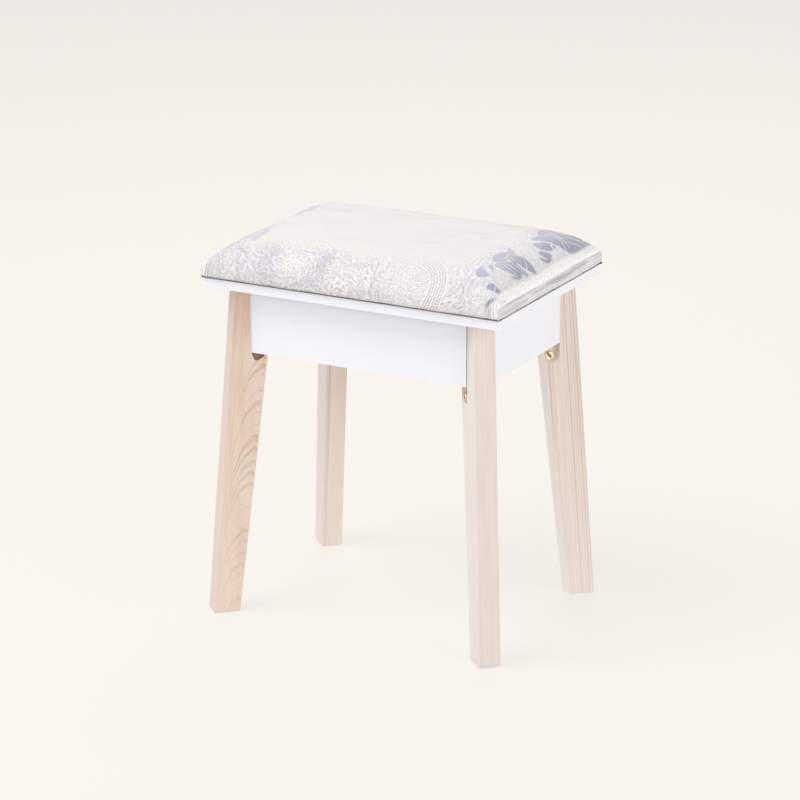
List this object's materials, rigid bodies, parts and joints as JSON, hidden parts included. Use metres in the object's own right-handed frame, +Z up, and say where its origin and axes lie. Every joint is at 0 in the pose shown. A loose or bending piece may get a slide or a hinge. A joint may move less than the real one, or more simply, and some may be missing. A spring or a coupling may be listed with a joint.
{
  "type": "vanity stool",
  "caption": "Low backless stool with a crowned jacquard-covered pad on a white board and box, standing on splayed pine legs set diagonally at its corners.",
  "frame": {"origin": "on the floor, below the middle of the seat", "axes": "+X to the sitter's side of the long seat edge, +Y to the back, +Z up; the front apron is on -Y"},
  "size_m": [0.4078, 0.3078, 0.482],
  "materials": {
    "fabric": "woven jacquard, satin ground with raised cream figure",
    "foam": "open-cell upholstery foam, matt",
    "plywood": "bare plywood",
    "white_board": "smooth white lacquer on fibreboard, satin",
    "block_pine": "sawn pine, bare",
    "leg_pine": "planed pale pine, clear matt",
    "brass_fastener": "yellow passivated, satin",
    "bracket_steel": "zinc plated",
    "steel": "zinc plated"
  },
  "bodies": {
    "root": {"seat_cover": "fabric", "foam_pad": "foam", "seat_base_panel": "plywood", "cover_staples": "steel", "seat_screws": "steel", "top_board": "white_board", "front_apron": "white_board", "back_apron": "white_board", "left_apron": "white_board", "right_apron": "white_board", "front_left_corner_block": "block_pine", "front_right_corner_block": "block_pine", "back_left_corner_block": "block_pine", "back_right_corner_block": "block_pine", "front_left_leg": "leg_pine", "front_right_leg": "leg_pine", "back_left_leg": "leg_pine", "back_right_leg": "leg_pine", "shoulder_cross_dowels": "brass_fastener", "shoulder_bolts": "steel", "shoulder_washers": "steel", "upper_leg_bolts": "steel", "upper_leg_washers": "steel", "leg_inserts": "brass_fastener", "block_screws": "brass_fastener", "board_brackets": "bracket_steel", "bracket_screws": "steel"}
  },
  "joints": []
}
